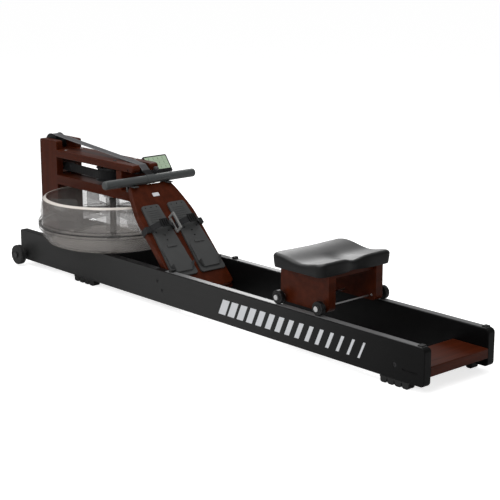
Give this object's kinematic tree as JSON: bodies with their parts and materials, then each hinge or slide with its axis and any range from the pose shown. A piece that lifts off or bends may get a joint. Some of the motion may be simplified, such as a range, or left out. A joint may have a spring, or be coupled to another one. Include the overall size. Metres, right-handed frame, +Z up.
{
  "type": "water rowing machine",
  "caption": "Water-tank rowing machine: twin timber rails, sliding contoured seat, round clear tank, strap-driven bar handle, sloped footboard and small tilting monitor.",
  "frame": {"origin": "On the floor, at the middle of the machine's length and width", "axes": "+X runs from the tank end to the rear end, +Y is the rower's right, +Z is up"},
  "size_m": [2.087, 0.557, 0.503],
  "materials": {
    "rail_black": "black satin lacquer over timber",
    "red_wood": "dark red-brown stained satin timber",
    "track": "smooth light grey running strip",
    "rubber": "matt black rubber",
    "grip": "dark grey-green foam rubber",
    "plate_grey": "moulded dark grey nylon",
    "black_plastic": "moulded black plastic",
    "webbing": "black woven webbing",
    "drive_webbing": "dark grey woven webbing",
    "clear_smoke": "clear smoke-tinted polycarbonate",
    "steel": "zinc plated steel",
    "cushion": "soft black skinned foam",
    "screen": "pale green liquid crystal display",
    "paddle_white": "moulded grey plastic"
  },
  "bodies": {
    "frame": {"drive_strap": "drive_webbing", "end_block": "red_wood", "feet_front": "rubber", "feet_rear": "rubber", "fill_plug": "black_plastic", "foot_plate_left": "plate_grey", "foot_plate_right": "plate_grey", "foot_spreader": "red_wood", "foot_strap_left": "webbing", "foot_strap_right": "webbing", "footboard": "red_wood", "footboard_badge": "steel", "front_panel": "red_wood", "front_spreader": "red_wood", "handle_hooks": "plate_grey", "leg_left": "red_wood", "leg_right": "red_wood", "lower_deck": "red_wood", "monitor_bracket": "black_plastic", "pulley_pins": "steel", "rail_bolts": "steel", "rail_left": "rail_black", "rail_right": "rail_black", "rail_tracks": "track", "rear_spacer": "red_wood", "recoil_cord": "rubber", "seat_stops": "rubber", "shaft_bearing": "black_plastic", "strap_buckle_left": "black_plastic", "strap_buckle_right": "black_plastic", "tank_lower_shell": "clear_smoke", "tank_pads": "rubber", "tank_seal": "rubber", "tank_upper_shell": "clear_smoke", "top_deck": "red_wood"},
    "seat": {"seat_carriage": "red_wood", "seat_cushion": "cushion", "seat_axles": "steel"},
    "handle": {"handle_grip": "grip", "handle_clip": "black_plastic", "strap_lead": "drive_webbing"},
    "roller": {"strap_roller": "black_plastic"},
    "front_pulley": {"top_pulley": "black_plastic"},
    "idler": {"idler_pulley": "black_plastic"},
    "drum": {"drive_drum": "black_plastic", "paddle_shaft": "steel", "paddle": "paddle_white"},
    "transport_left": {"transport_wheel_left": "rubber"},
    "transport_right": {"transport_wheel_right": "rubber"},
    "heel_left": {"heel_rest_left": "plate_grey"},
    "heel_right": {"heel_rest_right": "plate_grey"},
    "monitor": {"monitor_case": "black_plastic", "monitor_screen": "screen"},
    "button_left": {"monitor_button_left": "black_plastic"},
    "button_right": {"monitor_button_right": "black_plastic"},
    "seat_wheel_front_left": {"seat_wheel_front_left": "black_plastic"},
    "seat_wheel_front_right": {"seat_wheel_front_right": "black_plastic"},
    "seat_wheel_rear_left": {"seat_wheel_rear_left": "black_plastic"},
    "seat_wheel_rear_right": {"seat_wheel_rear_right": "black_plastic"}
  },
  "joints": [
    {"name": "seat_slide", "type": "slide", "parent": "frame", "child": "seat", "axis": [1, 0, 0], "range_m": [-0.495, 0.382]},
    {"name": "handle_pull", "type": "slide", "parent": "frame", "child": "handle", "axis": [1, 0, 0], "range_m": [0, 1.2], "stiffness_N_per_m": 4},
    {"name": "roller_spin", "type": "hinge", "parent": "frame", "child": "roller", "pos_m": [-0.46, 0, 0.431], "axis": [0, 1, 0], "continuous": true},
    {"name": "front_pulley_spin", "type": "hinge", "parent": "frame", "child": "front_pulley", "pos_m": [-1.003, 0, 0.465], "axis": [0, 1, 0], "continuous": true},
    {"name": "idler_spin", "type": "hinge", "parent": "frame", "child": "idler", "pos_m": [-1.018, 0, 0.402], "axis": [0, 1, 0], "continuous": true},
    {"name": "drum_spin", "type": "hinge", "parent": "frame", "child": "drum", "pos_m": [-0.6365, 0, 0.38], "axis": [0, 0, 1], "continuous": true},
    {"name": "transport_left_spin", "type": "hinge", "parent": "frame", "child": "transport_left", "pos_m": [-1.0055, -0.188, 0.044], "axis": [0, 1, 0], "continuous": true},
    {"name": "heel_left_slide", "type": "slide", "parent": "frame", "child": "heel_left", "axis": [0.6984, 0, -0.7157], "range_m": [-0.055, 0.04]},
    {"name": "transport_right_spin", "type": "hinge", "parent": "frame", "child": "transport_right", "pos_m": [-1.0055, 0.188, 0.044], "axis": [0, 1, 0], "continuous": true},
    {"name": "heel_right_slide", "type": "slide", "parent": "frame", "child": "heel_right", "axis": [0.6984, 0, -0.7157], "range_m": [-0.055, 0.04]},
    {"name": "monitor_tilt", "type": "hinge", "parent": "frame", "child": "monitor", "pos_m": [-0.53243, 0.104, 0.41191], "axis": [0, 1, 0], "range_deg": [-20, 15]},
    {"name": "button_left_press", "type": "slide", "parent": "monitor", "child": "button_left", "axis": [-0.788, 0, -0.6157], "range_m": [0, 0.0015], "stiffness_N_per_m": 400},
    {"name": "button_right_press", "type": "slide", "parent": "monitor", "child": "button_right", "axis": [-0.788, 0, -0.6157], "range_m": [0, 0.0015], "stiffness_N_per_m": 400},
    {"name": "seat_wheel_front_left_spin", "type": "hinge", "parent": "seat", "child": "seat_wheel_front_left", "pos_m": [0.429, -0.143, 0.1598], "axis": [0, 1, 0], "continuous": true},
    {"name": "seat_wheel_front_right_spin", "type": "hinge", "parent": "seat", "child": "seat_wheel_front_right", "pos_m": [0.429, 0.143, 0.1598], "axis": [0, 1, 0], "continuous": true},
    {"name": "seat_wheel_rear_left_spin", "type": "hinge", "parent": "seat", "child": "seat_wheel_rear_left", "pos_m": [0.6065, -0.143, 0.1598], "axis": [0, 1, 0], "continuous": true},
    {"name": "seat_wheel_rear_right_spin", "type": "hinge", "parent": "seat", "child": "seat_wheel_rear_right", "pos_m": [0.6065, 0.143, 0.1598], "axis": [0, 1, 0], "continuous": true}
  ],
  "couplings": [
    {"joint": "roller_spin", "follows": "handle_pull", "rad_per_m": 57.5},
    {"joint": "front_pulley_spin", "follows": "handle_pull", "rad_per_m": 29.9},
    {"joint": "idler_spin", "follows": "handle_pull", "rad_per_m": 54.3},
    {"joint": "drum_spin", "follows": "handle_pull", "rad_per_m": -19.4},
    {"joint": "seat_wheel_front_left_spin", "follows": "seat_slide", "rad_per_m": 45.45},
    {"joint": "seat_wheel_front_right_spin", "follows": "seat_slide", "rad_per_m": 45.45},
    {"joint": "seat_wheel_rear_left_spin", "follows": "seat_slide", "rad_per_m": 45.45},
    {"joint": "seat_wheel_rear_right_spin", "follows": "seat_slide", "rad_per_m": 45.45}
  ]
}
